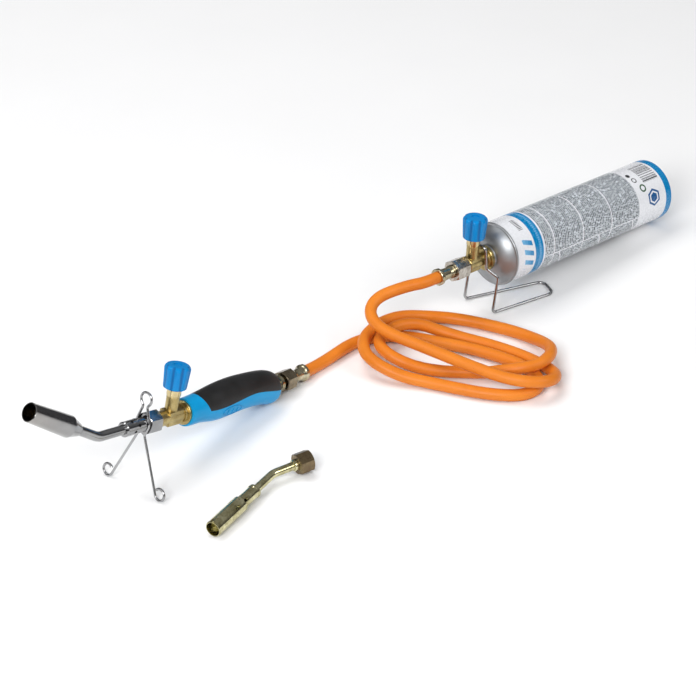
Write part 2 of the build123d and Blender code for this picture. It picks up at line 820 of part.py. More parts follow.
# ---- cartridge stand ------------------------------------------------------------
FLOOR_Z = STAND_WIRE_R
STAND_X = CAN_FOOT[0] - STAND_AT * math.cos(math.radians(CAN_TILT))
STAND_MID_Y = CAN_FOOT[1]
STAND_NECK_HALF = 9.2
STAND_HALF = 19.5
STAND_TOP_Z = 74.0
STAND_SHOULDER_Z = 49.0
STAND_KNEE_Z = 40.0
STAND_KNEE_X = STAND_X + 7.0
STAND_FOOT_X = STAND_X
STAND_FAR_BACK = (83.0, -14.5)  # the rear corners, from the middle of the foot line
STAND_NEAR_BACK = (73.0, -37.0)
STAND_BENDS = (4.0, 4.0, 4.0, 4.0, 8.0)


def stand_leg(hand):
    """The corners of one leg from the top bar down to the floor."""
    return [
        (STAND_X - 1.5, STAND_MID_Y + hand * STAND_NECK_HALF, STAND_TOP_Z),
        (STAND_X + 0.3, STAND_MID_Y + hand * STAND_NECK_HALF, STAND_SHOULDER_Z),
        (STAND_KNEE_X, STAND_MID_Y + hand * STAND_HALF, STAND_KNEE_Z),
        (STAND_FOOT_X, STAND_MID_Y + hand * STAND_HALF, FLOOR_Z),
    ]


with BuildPart() as cartridge_stand:
    top_middle = Vector(STAND_X - 1.5, STAND_MID_Y, STAND_TOP_Z)
    far_back = Vector(STAND_FOOT_X + STAND_FAR_BACK[0], STAND_MID_Y + STAND_FAR_BACK[1], FLOOR_Z)
    near_back = Vector(STAND_FOOT_X + STAND_NEAR_BACK[0], STAND_MID_Y + STAND_NEAR_BACK[1], FLOOR_Z)
    back_middle = (far_back + near_back) / 2
    for hand, back in ((1, far_back), (-1, near_back)):
        with BuildLine() as stand_wire:
            FilletPolyline(top_middle, *stand_leg(hand), back, back_middle, radius=STAND_BENDS)
        with BuildSketch(Plane(origin=top_middle, z_dir=(0, hand, 0))):
            Circle(STAND_WIRE_R)
        sweep(path=stand_wire.line)
save(cartridge_stand.part, "cartridge_stand")

# ---- spare burner ---------------------------------------------------------------
SPARE_TIP_R = 8.0
SPARE_BORE_R = 6.8
SPARE_TIP_END = 45.0
SPARE_STEP_END = 70.0
SPARE_BEND_AT = 100.0
SPARE_TURN = 25.4
SPARE_NECK_R = 4.1
SPARE_NUT_BACK = 26.0
SPARE_NUT_FRONT = 41.0
SPARE_NUT_FLATS = 19.0
SPARE_THREAD_R = 7.9
SPARE_THREAD_LENGTH = 5.5
spare = frame_at(SPARE_MOUTH, SPARE_AZIMUTH, -SPARE_RISE)
spare_bend = point_on(spare, SPARE_BEND_AT)
spare_tail = frame_at(spare_bend, SPARE_AZIMUTH - SPARE_TURN, -SPARE_RISE)

with BuildPart() as spare_tip:
    tip_outline = outline(
        spare,
        [
            (0, SPARE_BORE_R),
            (17, SPARE_BORE_R),
            (20, 3.0),
            (SPARE_STEP_END - 6, 3.0),
            (SPARE_STEP_END - 6, SPARE_NECK_R),
            (SPARE_STEP_END, SPARE_NECK_R),
            (SPARE_STEP_END, 6.0),
            (SPARE_STEP_END - 0.8, 6.8),
            (SPARE_STEP_END - 3.2, 6.8),
            (SPARE_STEP_END - 4.0, 6.2),
            (SPARE_TIP_END + 2.5, 6.2),
            (SPARE_TIP_END, SPARE_TIP_R),
            (1, SPARE_TIP_R),
            (0, SPARE_TIP_R - 0.6),
        ],
    )
    revolve(tip_outline, axis=axis_of(spare))
    SLOTS = 4
    for index in range(SLOTS):
        slot_turn = spare.rotated((45 + index * 360 / SLOTS, 0, 0))
        for slot_at in (SPARE_TIP_END - 10, SPARE_TIP_END + 4):
            centre = point_on(spare, slot_at)
            with BuildSketch(Plane(origin=centre, x_dir=spare.x_dir, z_dir=slot_turn.y_dir)):
                SlotOverall(7.0, 2.8)
            extrude(amount=SPARE_TIP_R + 1, mode=Mode.SUBTRACT)
save(spare_tip.part, "spare_tip")

with BuildPart() as spare_neck:
    with BuildLine() as spare_path:
        FilletPolyline(
            point_on(spare, SPARE_STEP_END - 6),
            spare_bend,
            point_on(spare_tail, SPARE_NUT_BACK + 3),
            radius=22,
        )
    with BuildSketch(cross_plane(spare, SPARE_STEP_END - 6)):
        Circle(SPARE_NECK_R)
        Circle(2.4, mode=Mode.SUBTRACT)
    sweep()
save(spare_neck.part, "spare_neck")

with BuildPart() as spare_cone:
    cone_outline = outline(
        spare_tail,
        [
            (SPARE_NUT_BACK - 4, SPARE_NECK_R),
            (SPARE_NUT_BACK + 3, SPARE_NECK_R),
            (SPARE_NUT_BACK + 3, 2.4),
            (SPARE_NUT_BACK + 9, 2.4),
            (SPARE_NUT_BACK + 9, 5.2),
            (SPARE_NUT_BACK + 6.5, SOCKET_R),
            (SPARE_NUT_BACK + 2.8, SOCKET_R),
            (SPARE_NUT_BACK + 2.8, GROOVE_R),
            (SPARE_NUT_BACK - 3.4, GROOVE_R),
            (SPARE_NUT_BACK - 4, GROOVE_R - 0.6),
        ],
    )
    revolve(cone_outline, axis=axis_of(spare_tail))
save(spare_cone.part, "spare_cone")

with BuildPart() as spare_nut:
    nut_length = SPARE_NUT_FRONT - SPARE_NUT_BACK
    extrude(hexagon(cross_plane(spare_tail, SPARE_NUT_BACK), SPARE_NUT_FLATS), amount=nut_length)
    revolve(
        hex_crown(spare_tail, SPARE_NUT_BACK, SPARE_NUT_FRONT, SPARE_NUT_FLATS),
        axis=axis_of(spare_tail),
        mode=Mode.INTERSECT,
    )
    revolve(
        band(spare_tail, SPARE_NUT_BACK - 1, SPARE_NUT_FRONT + 1, GROOVE_R + GAP),
        axis=axis_of(spare_tail),
        mode=Mode.SUBTRACT,
    )
    revolve(
        band(spare_tail, SPARE_NUT_BACK + 2.5, SPARE_NUT_FRONT, SOCKET_R + GAP),
        axis=axis_of(spare_tail),
        mode=Mode.SUBTRACT,
    )
    revolve(
        band(
            spare_tail,
            SPARE_NUT_FRONT - SPARE_THREAD_LENGTH,
            SPARE_NUT_FRONT + 1,
            SPARE_THREAD_R,
        ),
        axis=axis_of(spare_tail),
        mode=Mode.SUBTRACT,
    )
save(spare_nut.part, "spare_nut")
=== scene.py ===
import json
import math

import bpy
from mathutils import Matrix, Vector
from mathutils.bvhtree import BVHTree


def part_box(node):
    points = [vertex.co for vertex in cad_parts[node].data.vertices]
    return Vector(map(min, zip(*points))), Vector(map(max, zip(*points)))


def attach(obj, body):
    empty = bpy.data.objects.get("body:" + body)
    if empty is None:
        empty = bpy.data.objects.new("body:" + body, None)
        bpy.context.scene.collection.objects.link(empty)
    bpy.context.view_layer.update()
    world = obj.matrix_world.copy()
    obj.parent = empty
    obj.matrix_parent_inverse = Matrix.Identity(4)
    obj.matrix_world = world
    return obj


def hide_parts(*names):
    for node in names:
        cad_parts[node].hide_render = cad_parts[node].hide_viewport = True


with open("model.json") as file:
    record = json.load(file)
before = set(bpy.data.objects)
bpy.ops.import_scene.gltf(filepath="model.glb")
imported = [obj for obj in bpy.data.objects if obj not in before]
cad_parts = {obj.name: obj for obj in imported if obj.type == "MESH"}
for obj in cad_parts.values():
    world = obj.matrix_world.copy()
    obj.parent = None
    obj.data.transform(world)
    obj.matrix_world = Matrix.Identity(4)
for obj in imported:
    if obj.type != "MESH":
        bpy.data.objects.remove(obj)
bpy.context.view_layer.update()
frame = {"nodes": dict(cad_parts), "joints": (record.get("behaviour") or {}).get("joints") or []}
nodes = frame["nodes"]
joints = {joint["name"]: joint for joint in frame["joints"]}
scene = bpy.context.scene

VIEW_AZIMUTH = -45.0
VIEW_ELEVATION = 32.2
VIEW_DISTANCE = 2.99
VIEW_LENS_MM = 155.2
VIEW_SENSOR_MM = 36.0
VIEW_REACH = 20.0
VIEW_TARGET = Vector((0.0076, 0.0702, 0.0))


def view_back(azimuth, elevation):
    """The direction from the target to a camera at that azimuth and elevation."""
    turn = math.radians(azimuth)
    rise = math.radians(elevation)
    flat = math.cos(rise)
    return Vector((math.sin(turn) * flat, -math.cos(turn) * flat, math.sin(rise)))


camera_data = bpy.data.cameras.new("camera")
camera_data.lens = VIEW_LENS_MM
camera_data.sensor_width = VIEW_SENSOR_MM
camera_data.clip_end = VIEW_REACH
camera = bpy.data.objects.new("camera", camera_data)
scene.collection.objects.link(camera)
scene.camera = camera
back = view_back(VIEW_AZIMUTH, VIEW_ELEVATION)
camera.location = VIEW_TARGET + back * VIEW_DISTANCE
camera.rotation_euler = back.to_track_quat("Z", "Y").to_euler()

# ---- round lines ----------------------------------------------------------------


def round_line(name, kind, route, radius, facets):
    """A round bead through points in metres: its object and its spline."""
    curve = bpy.data.curves.new(name, "CURVE")
    curve.dimensions = "3D"
    # Each point's radius is the bead's own, so the bevel's depth is one.
    curve.bevel_depth = 1.0
    curve.bevel_resolution = facets
    curve.use_fill_caps = True
    spline = curve.splines.new(kind)
    spline.points.add(len(route) - 1)
    for point, place in zip(spline.points, route):
        point.co = (*place, 1.0)
        point.radius = radius
    piece = bpy.data.objects.new(name, curve)
    scene.collection.objects.link(piece)
    return piece, spline


# ---- the hose -------------------------------------------------------------------
# It leaves the torch's tail, lies in three loose loops and climbs to the tap.
HOSE_DIAMETER = 0.012
HOSE_FACETS = 8
HOSE_STEPS = 16
HOSE_ROUTE_MM = [
    (-64.6, 59.5, 8.8),
    (-48.8, 60.9, 6.5),
    (-23.5, 63, 6.3),
    (3.5, 66.5, 6.3),
    (24.5, 63.5, 6.3),
    (43.5, 53, 6.3),
    (59.5, 33, 6.3),
    (72.5, 6, 6.3),
    (85.5, -22, 6.3),
    (94.5, -50, 6.3),
    (98.5, -75, 6.3),
    (98.5, -94, 6.3),
    (91.5, -110.5, 6.3),
    (77.5, -120, 6.3),
    (61.5, -118, 6.3),
    (47.5, -106, 6.3),
    (34.5, -87, 6.3),
    (22.5, -62, 6.3),
    (11, -36, 6.3),
    (-0.5, -17, 8.5),
    (-9.5, -1, 14),
    (-13, 16, 18.5),
    (-7.5, 32.5, 19.3),
    (4.5, 46.5, 19.3),
    (21.5, 55.5, 19.3),
    (44.5, 59.5, 19.3),
    (69.5, 57, 16.5),
    (94.5, 48.5, 9),
    (116.5, 27, 6.3),
    (130.5, -4, 6.3),
    (140.5, -33, 6.3),
    (143.5, -55, 7),
    (139.5, -75, 11.5),
    (129.5, -92, 17),
    (113.5, -103.5, 20.6),
    (95.5, -106, 20.6),
    (80.5, -98, 19.4),
    (70.5, -82, 14),
    (61.5, -66, 8),
    (50.5, -50, 6.3),
    (35.5, -33, 6.3),
    (22, -14, 8),
    (11, 2, 14),
    (7, 18.5, 18.8),
    (13, 33, 19.6),
    (25.5, 41.5, 19.6),
    (42.5, 44, 19.6),
    (59.5, 40.5, 19.2),
    (74.5, 31.5, 15),
    (86.5, 16, 8.5),
    (95.5, -6, 6.3),
    (104.5, -32, 6.3),
    (111.5, -61, 6.3),
    (114, -88, 6.3),
    (111.5, -107, 7.5),
    (102.5, -122.5, 12),
    (87.5, -130, 16.5),
    (71.5, -127, 20),
    (59, -114, 21.5),
    (50.5, -96, 22),
    (42.5, -66, 23.5),
    (34.5, -33, 26.5),
    (26, -2, 30),
    (18.5, 21, 33),
    (16, 39, 37),
    (20, 52, 42),
    (29.5, 58.5, 47.2),
    (41, 57.5, 52),
    (53.5, 50, 56.5),
    (66.5, 41, 60.3),
    (77.4, 31.6, 62.8),
    (94.3, 31.6, 61.4),
]


def hose_line():
    route = [tuple(value / 1000 for value in place) for place in HOSE_ROUTE_MM]
    piece, spline = round_line("gas_hose", "NURBS", route, HOSE_DIAMETER / 2, HOSE_FACETS)
    piece.data.resolution_u = HOSE_STEPS
    spline.order_u = 3
    spline.use_endpoint_u = True
    return piece


gas_hose = hose_line()
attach(gas_hose, "kit")
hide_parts("hose")

# ---- handle relief --------------------------------------------------------------
# A plain raised oval with three ribs on each side of the handle's lower half, in
# millimetres along the torch from its burner seat and above its axis.
RELIEF_ALONG = 112.0
RELIEF_ABOVE = -4.2
RELIEF_HALF = (13.0, 5.0)
RELIEF_STEPS = 40
RELIEF_BEAD_MM = 0.6
RELIEF_FACETS = 3
RELIEF_RAY = 0.1
RIB_SPACING = 6.5
RIB_HALF = 2.4
RIB_STEPS = 6


def oval_path():
    path = []
    for step in range(RELIEF_STEPS):
        turn = 2 * math.pi * step / RELIEF_STEPS
        far = RELIEF_ALONG + RELIEF_HALF[0] * math.cos(turn)
        path.append((far, RELIEF_ABOVE + RELIEF_HALF[1] * math.sin(turn)))
    return path


def rib_path(number):
    far = RELIEF_ALONG + RIB_SPACING * number
    path = []
    for step in range(RIB_STEPS + 1):
        path.append((far, RELIEF_ABOVE + RIB_HALF * (2 * step / RIB_STEPS - 1)))
    return path


def pressed_line(name, path, closed, side_hand):
    """A thin bead that follows the handle's skin through points (along, above)."""
    joint = joints["burner_swivel"]
    along = -Vector(joint["axis"]).normalized()
    side = along.cross(Vector((0, 0, 1))).normalized()
    up = side.cross(along)
    reach = side * side_hand
    start = Vector(joint["pos_m"]) + reach * RELIEF_RAY
    route = []
    for far, high in path:
        origin = start + along * (far / 1000) + up * (high / 1000)
        route.append(handle_skin.ray_cast(origin, -reach)[0])
    piece, spline = round_line(name, "POLY", route, RELIEF_BEAD_MM / 1000, RELIEF_FACETS)
    spline.use_cyclic_u = closed
    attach(piece, "kit")
    return piece


handle_skin = BVHTree.FromObject(nodes["handle_shell"], bpy.context.evaluated_depsgraph_get())
relief_names = []
for side_name, hand in (("near", 1.0), ("far", -1.0)):
    name = f"relief_oval_{side_name}"
    relief_names.append(pressed_line(name, oval_path(), True, hand).name)
    for number in (-1, 0, 1):
        name = f"relief_rib_{side_name}_{number + 2}"
        relief_names.append(pressed_line(name, rib_path(number), False, hand).name)

# ---- node helpers ---------------------------------------------------------------
# Most of a noise node's values lie between these two.
NOISE_SPAN = (0.3, 0.7)


def scaled(colour, factor):
    """A colour made darker or lighter."""
    return tuple(value * factor for value in colour[:3]) + (1,)


class Shader:
    """A material with one Principled shader and short ways to add nodes."""

    def __init__(self, name, **values):
        self.material = bpy.data.materials.new(name)
        self.material.use_nodes = True
        self.tree = self.material.node_tree
        self.bsdf = self.tree.nodes["Principled BSDF"]
        for socket, value in values.items():
            self.bsdf.inputs[socket.replace("_", " ")].default_value = value

    def node(self, kind, **settings):
        made = self.tree.nodes.new(kind)
        for key, value in settings.items():
            setattr(made, key, value)
        return made

    def link(self, source, target):
        self.tree.links.new(source, target)
        return target

    def feed(self, socket, value):
        """Links a node output to a socket, or sets it to a plain value."""
        if isinstance(value, bpy.types.NodeSocket):
            self.link(value, socket)
        else:
            socket.default_value = value

    def math(self, operation, a, b=0.0):
        made = self.node("ShaderNodeMath", operation=operation)
        self.feed(made.inputs[0], a)
        self.feed(made.inputs[1], b)
        return made.outputs[0]

    def times(self, a, b):
        return self.math("MULTIPLY", a, b)

    def length(self, a, b):
        """The length of a flat vector with these two parts."""
        squares = self.math("ADD", self.math("POWER", a, 2.0), self.math("POWER", b, 2.0))
        return self.math("SQRT", squares)

    def mix(self, factor, a, b):
        made = self.node("ShaderNodeMix", data_type="RGBA")
        self.feed(made.inputs["Factor"], factor)
        self.feed(made.inputs[6], a)
        self.feed(made.inputs[7], b)
        return made.outputs[2]

    def place(self):
        """The point in metres, in coordinates that move with its body."""
        return self.node("ShaderNodeTexCoord").outputs["Object"]

    def noise(self, scale, detail=3.0, roughness=0.5, vector=None):
        made = self.node("ShaderNodeTexNoise")
        made.inputs["Scale"].default_value = scale
        made.inputs["Detail"].default_value = detail
        made.inputs["Roughness"].default_value = roughness
        self.link(vector or self.place(), made.inputs["Vector"])
        return made.outputs["Fac"]

    def local(self, origin, rotation, scale=(1, 1, 1)):
        """Coordinates along a tilted part's own axes."""
        made = self.node("ShaderNodeMapping", vector_type="TEXTURE")
        made.inputs["Location"].default_value = origin
        made.inputs["Rotation"].default_value = rotation
        made.inputs["Scale"].default_value = scale
        self.link(self.place(), made.inputs["Vector"])
        return made.outputs["Vector"]

    def split(self, vector):
        made = self.node("ShaderNodeSeparateXYZ")
        self.link(vector, made.inputs[0])
        return made.outputs

    def join(self, x, y, z):
        made = self.node("ShaderNodeCombineXYZ")
        for socket, value in zip(made.inputs, (x, y, z)):
            self.feed(socket, value)
        return made.outputs[0]

    def ramp(self, factor, low, high, low_to=0.0, high_to=1.0):
        """low_to below low, high_to above high, straight between."""
        made = self.node("ShaderNodeMapRange")
        self.feed(made.inputs["Value"], factor)
        made.inputs["From Min"].default_value = low
        made.inputs["From Max"].default_value = high
        made.inputs["To Min"].default_value = low_to
        made.inputs["To Max"].default_value = high_to
        return made.outputs[0]

    def within(self, value, low, high):
        """1 where value lies between low and high."""
        above = self.math("GREATER_THAN", value, low)
        below = self.math("LESS_THAN", value, high)
        return self.times(above, below)

    def bump(self, height, strength, distance):
        made = self.node("ShaderNodeBump")
        made.inputs["Strength"].default_value = strength
        made.inputs["Distance"].default_value = distance
        self.link(height, made.inputs["Height"])
        self.link(made.outputs["Normal"], self.bsdf.inputs["Normal"])

    def colour(self, value):
        self.feed(self.bsdf.inputs["Base Color"], value)

    def roughness(self, value):
        self.feed(self.bsdf.inputs["Roughness"], value)


def axis_frame(joint_name):
    """Origin and Euler angles of a frame whose X runs along a joint's axis."""
    joint = joints[joint_name]
    along = Vector(joint["axis"]).normalized()
    side = Vector((0, 0, 1)).cross(along).normalized()
    up = along.cross(side)
    turn = Matrix((along, side, up)).transposed()
    return Vector(joint["pos_m"]), turn.to_euler()


# ---- materials ------------------------------------------------------------------
KNOB_FLUTES = 8
# Painted shade in the knob's flutes: the edges of the wave round the knob, how dark the shade is, and
# the radii where it starts.
FLUTE_EDGE = (0.25, 1.0)  # of the wave round the knob
FLUTE_PAINTED_SHADE = 0.8
FLUTE_RADII = (0.0085, 0.0100)
HEAT_REACH = 0.045
HEAT_STRENGTH = 0.35
DRAWN_STRETCH = 12.0


def bare_steel(name, base, rough):
    """Polished or drawn steel: fine drawn lines and faint cloudy staining."""
    made = Shader(name, Metallic=1.0)
    stretched = made.local((0, 0, 0), (0, 0, 0), (DRAWN_STRETCH, 1.0, 1.0))
    lines = made.noise(900.0, detail=2.0, vector=stretched)
    clouds = made.noise(35.0, detail=4.0, roughness=0.6)
    made.colour(made.mix(made.ramp(clouds, *NOISE_SPAN), scaled(base, 0.78), base))
    made.roughness(made.ramp(lines, *NOISE_SPAN, low_to=rough * 0.8, high_to=rough * 1.25))
    made.bump(lines, strength=0.04, distance=0.0002)
    return made.material


def tinplate():
    """Pressed tinplate: faint rings round the can's axis on a soft gloss."""
    made = Shader("tinplate", Metallic=1.0)
    origin, angles = axis_frame("cartridge_turn")
    y, z = made.split(made.local(origin, angles))[1:]
    away = made.join(made.times(made.length(y, z), 1500.0), 0.0, 0.0)
    rings = made.noise(1.0, detail=2.0, roughness=0.6, vector=away)
    clouds = made.noise(18.0, detail=2.0)
    dull = (0.33, 0.345, 0.36, 1)
    made.colour(made.mix(made.ramp(clouds, *NOISE_SPAN), dull, (0.40, 0.415, 0.43, 1)))
    made.roughness(made.ramp(rings, *NOISE_SPAN, low_to=0.38, high_to=0.48))
    made.bump(rings, strength=0.03, distance=0.0002)
    return made.material


def burner_steel():
    """Polished stainless tube with a faint straw tint towards the hot mouth."""
    made = Shader("burner_steel", Metallic=1.0)
    clouds = made.noise(45.0, detail=4.0, roughness=0.6)
    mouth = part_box("burner_bell")[0][0]
    along = made.split(made.place())[0]
    heat = made.ramp(along, mouth + HEAT_REACH, mouth)
    dull = (0.29, 0.29, 0.295, 1)
    clean = made.mix(made.ramp(clouds, *NOISE_SPAN), dull, (0.37, 0.37, 0.37, 1))
    hot = (0.36, 0.32, 0.27, 1)
    made.colour(made.mix(made.times(heat, HEAT_STRENGTH), clean, hot))
    fine = made.noise(1400.0, detail=2.0)
    made.roughness(made.ramp(fine, *NOISE_SPAN, low_to=0.12, high_to=0.22))
    made.bump(fine, strength=0.03, distance=0.0002)
    return made.material


def brass(name, base, dark, rough, cast=0.0):
    """Brass with darker clouds and tool marks; cast adds a sandy skin."""
    made = Shader(name, Metallic=1.0)
    clouds = made.noise(120.0, detail=4.0, roughness=0.6)
    made.colour(made.mix(made.ramp(clouds, 0.35, 0.68), dark, base))
    fine = made.noise(2600.0, detail=3.0)
    made.roughness(made.ramp(fine, *NOISE_SPAN, low_to=rough * 0.8, high_to=rough * 1.3))
    made.bump(fine, max(cast, 0.05), 0.0006 if cast else 0.0002)
    return made.material


def moulded_plastic(name, base, deep, rough):
    """Moulded plastic: slow colour drift and a fine eroded grain."""
    made = Shader(name, Specular_IOR_Level=0.25)
    drift = made.noise(28.0, detail=3.0, roughness=0.6)
    made.colour(made.mix(made.ramp(drift, *NOISE_SPAN), deep, base))
    pits = made.noise(2400.0, detail=2.0)
    made.roughness(made.ramp(pits, *NOISE_SPAN, low_to=rough * 0.85, high_to=rough * 1.2))
    made.bump(pits, strength=0.12, distance=0.0003)
    return made.material


def knob_plastic(name, joint_name, base, deep):
    """Moulded plastic with painted shade down in the knob's eight flutes."""
    made = Shader(name, Specular_IOR_Level=0.25)
    origin, angles = axis_frame(joint_name)
    y, z = made.split(made.local(origin, angles))[1:]
    turn = made.times(made.math("ARCTAN2", y, z), float(KNOB_FLUTES))
    flute_shade_mask = made.ramp(made.times(made.math("COSINE", turn), -1.0), *FLUTE_EDGE)
    outside = made.ramp(made.length(y, z), *FLUTE_RADII)
    drift = made.noise(28.0, detail=3.0, roughness=0.6)
    plain = made.mix(made.ramp(drift, *NOISE_SPAN), scaled(base, 0.9), base)
    # Painted shade: the deeper blue is laid into the flutes near the knob's rim.
    shade = made.times(made.times(flute_shade_mask, outside), FLUTE_PAINTED_SHADE)
    made.colour(made.mix(shade, plain, deep))
    pits = made.noise(2400.0, detail=2.0)
    made.roughness(made.ramp(pits, *NOISE_SPAN, low_to=0.20, high_to=0.28))
    made.bump(pits, strength=0.04, distance=0.0003)
    return made.material


def soft_grip():
    """Black rubber with a fine pebbled skin."""
    made = Shader("soft_grip", Specular_IOR_Level=0.3)
    cells = made.node("ShaderNodeTexVoronoi", feature="F1")
    cells.inputs["Scale"].default_value = 900.0
    made.link(made.place(), cells.inputs["Vector"])
    dust = made.noise(60.0, detail=4.0)
    made.colour(
        made.mix(made.ramp(dust, 0.35, 0.75), (0.009, 0.009, 0.009, 1), (0.020, 0.020, 0.021, 1))
    )
    made.roughness(made.ramp(dust, *NOISE_SPAN, low_to=0.44, high_to=0.58))
    made.bump(cells.outputs["Distance"], strength=0.25, distance=0.0004)
    return made.material


def hose_rubber():
    """Smooth orange rubber, a little darker in patches, with a fine extruded skin."""
    made = Shader("hose_rubber", Specular_IOR_Level=0.32)
    patches = made.noise(22.0, detail=4.0, roughness=0.6)
    orange = made.mix(
        made.ramp(patches, *NOISE_SPAN), (0.66, 0.175, 0.012, 1), (0.76, 0.225, 0.018, 1)
    )
    specks = made.noise(1500.0, detail=2.0)
    made.colour(made.mix(made.ramp(specks, 0.66, 0.74), orange, (0.42, 0.09, 0.010, 1)))
    made.roughness(made.ramp(patches, *NOISE_SPAN, low_to=0.36, high_to=0.50))
    made.bump(specks, strength=0.08, distance=0.0003)
    return made.material


def yellow_plate(name, bright, brown, rough):
    """Yellow-passivated zinc plate: straw, olive and rusty clouds."""
    made = Shader(name, Metallic=1.0)
    clouds = made.noise(90.0, detail=4.0, roughness=0.65)
    stain = made.noise(240.0, detail=3.0, roughness=0.6)
    ground = made.mix(made.ramp(clouds, 0.35, 0.68), brown, bright)
    made.colour(made.mix(made.ramp(stain, 0.55, 0.78), ground, scaled(brown, 0.6)))
    made.roughness(made.ramp(stain, *NOISE_SPAN, low_to=rough * 0.8, high_to=rough * 1.4))
    made.bump(stain, strength=0.03, distance=0.0003)
    return made.material


def black_rubber():
    made = Shader("seal_rubber", Specular_IOR_Level=0.4)
    grain = made.noise(1800.0, detail=2.0)
    made.colour(made.mix(grain, (0.012, 0.012, 0.012, 1), (0.030, 0.030, 0.030, 1)))
    made.roughness(made.ramp(grain, *NOISE_SPAN, low_to=0.5, high_to=0.65))
    made.bump(grain, strength=0.1, distance=0.0002)
    return made.material


# The printed can: millimetres along it from the rear rim, and degrees round it
# from the top towards the burner's near side.
CAN_RADIUS_MM = 32.5
TEXT_AREA = (56.0, 205.0)
DIVIDERS = (190.0, 145.0, 100.0)
DIVIDER_HALF = 0.8
STRIPE = (207.0, 219.0)
STRIPE_DASHES = 1.6
FRONT_BARS = (222.0, 235.0)
FRONT_BARS_ROUND = (49.5, 107.0)
SMALL_MARKS = (225.0, 231.0)
SMALL_MARKS_ROUND = (2.0, 31.0)
RIM_BAND = 12.0
SIDE_LINE = 98.0
SIDE_LINE_HALF = 0.9
TICKS = (182.0, 120.0, 66.0)
TICK_LEAN = -0.30
PRINT_PITCH = 2.5
BAR_BLOCK = (15.0, 38.0)
BAR_BLOCK_ROUND = (-8.0, 38.0)
PRINT_WHITE = (0.76, 0.77, 0.80, 1)
PRINT_BLUE = (0.000, 0.205, 0.47, 1)
PRINT_PALE_BLUE = (0.18, 0.45, 0.70, 1)
PRINT_DARK = (0.020, 0.022, 0.026, 1)
PRINT_GREY = (0.62, 0.66, 0.70, 1)
PRINT_INK = (0.050, 0.060, 0.070, 1)
PRINT_GREEN = (0.020, 0.085, 0.030, 1)
# Plain ring marks on the rear band: along, round, radius, line width, colour.
RING_MARKS = (
    (48.0, 26.0, 3.2, 1.1, PRINT_DARK),
    (50.0, 12.0, 2.6, 2.6, PRINT_DARK),
    (43.0, 46.0, 4.4, 1.7, PRINT_GREEN),
)
BADGE = (31.0, 70.0, 8.4)  # a plain hexagon: along, round, radius
BADGE_LINE = (0.55, 0.75)  # a white line in it, as shares of its radius
BADGE_BLUE = (0.012, 0.09, 0.26, 1)
HEXAGON_LEAN = (0.5, 0.866)
# The fine print: how much of a row is inked, how the noise moves from row to row
# and round the can, and the noise that ends a word.
PRINT_ROW_SHARE = 0.68
PRINT_ROW_STEP = 7.31
PRINT_ROUND_STEP = 0.45
PRINT_WORD_EDGE = (0.43, 0.50)
TICK_REACH = 40.0
DASH_ROW_SHIFT = 1.5
DASH_RATE = 1.5
BAR_RATES = (0.20, 0.33)  # along, round
BAR_EDGE = 0.05
MARK_RATE = 1.9
MARK_EDGE = 0.1
CODE_RATE = 0.9
CODE_EDGE = 0.5


class CanPrint:
    """Coordinates and simple printed shapes on the can's cylinder."""

    def __init__(self, made):
        self.made = made
        origin, angles = axis_frame("cartridge_turn")
        axis = Vector(joints["cartridge_turn"]["axis"])
        low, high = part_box("can_base")
        rim = Vector((high[0], (low[1] + high[1]) / 2, (low[2] + high[2]) / 2))
        rim_along = (rim - origin).dot(axis) * 1000.0
        x, y, z = made.split(made.local(origin, angles))
        self.along = made.math("SUBTRACT", rim_along, made.times(x, 1000.0))
        turn = made.math("ARCTAN2", y, z)
        self.round = made.times(turn, -180.0 / math.pi)

    def area(self, along, around):
        made = self.made
        return made.times(made.within(self.along, *along), made.within(self.round, *around))

    def distances(self, along, around):
        made = self.made
        dx = made.math("SUBTRACT", self.along, along)
        arc = CAN_RADIUS_MM * math.pi / 180.0
        dy = made.times(made.math("SUBTRACT", self.round, around), arc)
        return dx, dy

    def hexagon(self, along, around):
        """The distance from a point, measured so that equal distances make a hexagon."""
        made = self.made
        dx, dy = self.distances(along, around)
        away = made.math("ABSOLUTE", dx)
        for hand in (-1.0, 1.0):
            leaned = made.math(
                "ADD",
                made.times(dx, HEXAGON_LEAN[0]),
                made.times(dy, HEXAGON_LEAN[1] * hand),
            )
            away = made.math("MAXIMUM", away, made.math("ABSOLUTE", leaned))
        return away

    def stripes(self, phase, edge):
        """1 on the crests of a wave, where its sine is above edge."""
        made = self.made
        return made.math("GREATER_THAN", made.math("SINE", phase), edge)

    def fine_print(self):
        """Rows round the can of broken dashes, too small to be anything but tone."""
        made = self.made
        rows = made.math("DIVIDE", self.along, PRINT_PITCH)
        row = made.math("FLOOR", rows)
        inside = made.math("LESS_THAN", made.math("FRACT", rows), PRINT_ROW_SHARE)
        words = made.join(
            made.times(row, PRINT_ROW_STEP), made.times(self.round, PRINT_ROUND_STEP), 0.0
        )
        broken = made.ramp(made.noise(1.0, detail=1.0, roughness=0.8, vector=words), *PRINT_WORD_EDGE)
        return made.times(inside, broken)


def print_field(made, can, white):
    """The grey field of fine print, cut by white lines."""
    printed = made.mix(can.fine_print(), PRINT_GREY, PRINT_INK)
    colour = made.mix(made.within(can.along, *TEXT_AREA), white, printed)
    for divider in DIVIDERS:
        ring = made.within(can.along, divider - DIVIDER_HALF, divider + DIVIDER_HALF)
        colour = made.mix(ring, colour, white)
    side_line = can.area(TEXT_AREA, (SIDE_LINE - SIDE_LINE_HALF, SIDE_LINE + SIDE_LINE_HALF))
    colour = made.mix(side_line, colour, white)
    for tick in TICKS:
        lean = made.math("SUBTRACT", can.along, made.times(can.round, TICK_LEAN))
        edge = tick - TICK_LEAN * SIDE_LINE
        slanted = made.within(lean, edge - DIVIDER_HALF, edge + DIVIDER_HALF)
        low_side = made.within(can.round, SIDE_LINE, SIDE_LINE + TICK_REACH)
        colour = made.mix(made.times(slanted, low_side), colour, white)
    return colour


